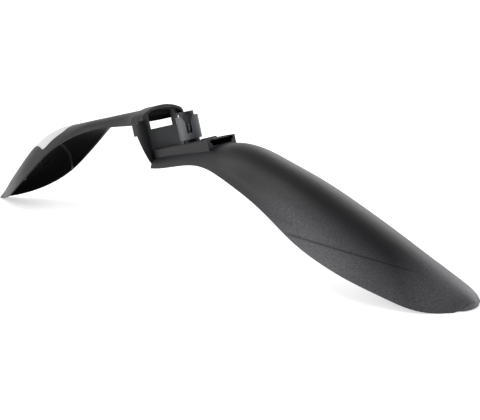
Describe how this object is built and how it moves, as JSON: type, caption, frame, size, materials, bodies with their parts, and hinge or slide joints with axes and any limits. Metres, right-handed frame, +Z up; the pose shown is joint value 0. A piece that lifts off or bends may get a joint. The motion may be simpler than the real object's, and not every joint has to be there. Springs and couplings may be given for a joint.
{
  "type": "bicycle mudguard",
  "caption": "Moulded front bicycle mudguard with beak, windowed hood and long blade, held by a slide-in adapter with an expander plug for the fork's steerer tube.",
  "frame": {"origin": "middle of the guard's length and width, on the floor that it lies on", "axes": "+X along the guard from the beak to the blade, +Y across it, +Z up as it lies on its two ends"},
  "size_m": [0.6106, 0.1118, 0.1327],
  "materials": {
    "guard_plastic": "fine grain",
    "inlay_plastic": "smooth",
    "adapter_plastic": "satin",
    "sleeve_plastic": "satin",
    "wedge_plastic": "satin",
    "bolt_steel": "zinc plated"
  },
  "bodies": {
    "guard": {"mudguard": "guard_plastic", "beak_inlay": "inlay_plastic"},
    "adapter": {"slide_adapter": "adapter_plastic", "expander_sleeve": "sleeve_plastic", "washer": "bolt_steel"},
    "bolt": {"bolt": "bolt_steel"},
    "wedge": {"wedge": "wedge_plastic", "nut": "bolt_steel"}
  },
  "joints": [
    {"name": "adapter_slide", "type": "slide", "parent": "guard", "child": "adapter", "axis": [0.9613, 0, 0.2756], "range_m": [0, 0.075]},
    {"name": "wedge_travel", "type": "slide", "parent": "adapter", "child": "wedge", "axis": [-0.2756, 0, 0.9613], "range_m": [-0.001, 0.0016]},
    {"name": "bolt_turn", "type": "hinge", "parent": "adapter", "child": "bolt", "pos_m": [-0.02416, 0, 0.09691], "axis": [-0.2756, 0, 0.9613], "range_deg": [-730, 460]}
  ],
  "couplings": [
    {"joint": "bolt_turn", "follows": "wedge_travel", "rad_per_m": -7854}
  ]
}
